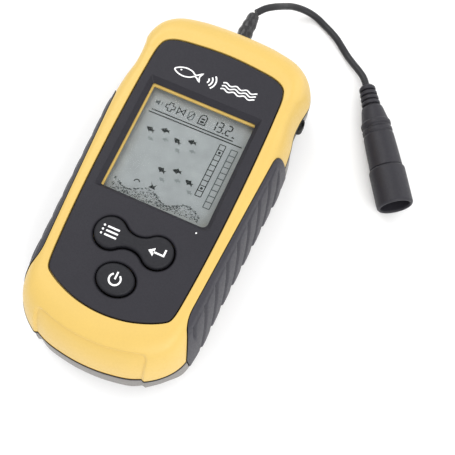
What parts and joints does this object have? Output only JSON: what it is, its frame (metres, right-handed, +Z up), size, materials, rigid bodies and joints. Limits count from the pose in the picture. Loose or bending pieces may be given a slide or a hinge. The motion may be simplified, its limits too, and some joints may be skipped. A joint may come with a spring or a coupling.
{
  "type": "fish finder",
  "caption": "Handheld sonar fish finder with a screen, a rocker key and a power key, rubber side grips, a battery door and a short cable to an in-line socket.",
  "frame": {"origin": "on the table under the middle of the casing's box, with the finder lying on its back", "axes": "+Z up out of the screen, +Y towards the cable end, +X to the right of the screen"},
  "size_m": [0.1176, 0.1682, 0.0361],
  "materials": {
    "yellow_plastic": "satin moulded plastic with a very fine texture",
    "panel_plastic": "fine matt texture",
    "lens": "clear and glossy",
    "lcd": "grey-green liquid crystal display",
    "white_plastic": "diffuse white",
    "key_rubber": "matt silicone",
    "grip_rubber": "matt ridged rubber",
    "black_rubber": "smooth, slightly glossy",
    "cable_sheath": "smooth flexible sheath",
    "socket_rubber": "matt moulded rubber",
    "silver_plastic": "satin silver-grey",
    "black_plastic": "matt",
    "circuit_board": "green solder mask",
    "cell_wrap": "printed sleeve on a metal can",
    "steel": "bright plated"
  },
  "bodies": {
    "casing": {"front_shell": "yellow_plastic", "front_panel": "panel_plastic", "screen_lens": "lens", "lcd_glass": "lcd", "backlight_plate": "white_plastic", "lcd_contact_strip": "black_rubber", "main_board": "circuit_board", "menu_switch_left": "steel", "menu_switch_right": "steel", "power_switch": "steel", "sonar_chip": "black_plastic", "sonar_transformer": "black_plastic", "buzzer": "black_plastic", "cable_header": "white_plastic", "inner_lead": "cable_sheath", "case_seal": "black_rubber", "rear_shell": "silver_plastic", "contact_plate_lower": "steel", "contact_plate_upper": "steel", "grip_right": "grip_rubber", "grip_left": "grip_rubber", "strap_lug": "black_plastic", "cable_gland": "black_rubber", "cable": "cable_sheath", "socket_boot": "socket_rubber", "socket_body": "socket_rubber", "socket_collar": "socket_rubber", "socket_insert": "black_plastic", "socket_pin": "steel", "case_screw_1": "steel", "case_screw_2": "steel", "case_screw_3": "steel", "case_screw_4": "steel", "case_screw_5": "steel", "case_screw_6": "steel", "board_screw_1": "steel", "battery_cell_1": "cell_wrap", "battery_spring_1": "steel", "board_screw_2": "steel", "battery_cell_2": "cell_wrap", "battery_spring_2": "steel", "board_screw_3": "steel", "battery_cell_3": "cell_wrap", "battery_spring_3": "steel", "board_screw_4": "steel", "battery_cell_4": "cell_wrap", "battery_spring_4": "steel"},
    "menu_rocker": {"menu_rocker_key": "key_rubber"},
    "power_button": {"power_key": "key_rubber"},
    "battery_hatch": {"battery_door": "silver_plastic"}
  },
  "joints": [
    {"name": "menu_rock", "type": "hinge", "parent": "casing", "child": "menu_rocker", "pos_m": [0, -0.0244, 0.0325], "axis": [0, 1, 0], "range_deg": [-3.5, 3.5], "stiffness_Nm_per_rad": 0.4},
    {"name": "power_press", "type": "slide", "parent": "casing", "child": "power_button", "axis": [0, 0, 1], "range_m": [-0.0008, 0], "stiffness_N_per_m": 3500},
    {"name": "battery_door_slide", "type": "slide", "parent": "casing", "child": "battery_hatch", "axis": [0, -1, 0], "range_m": [0, 0.05]}
  ]
}
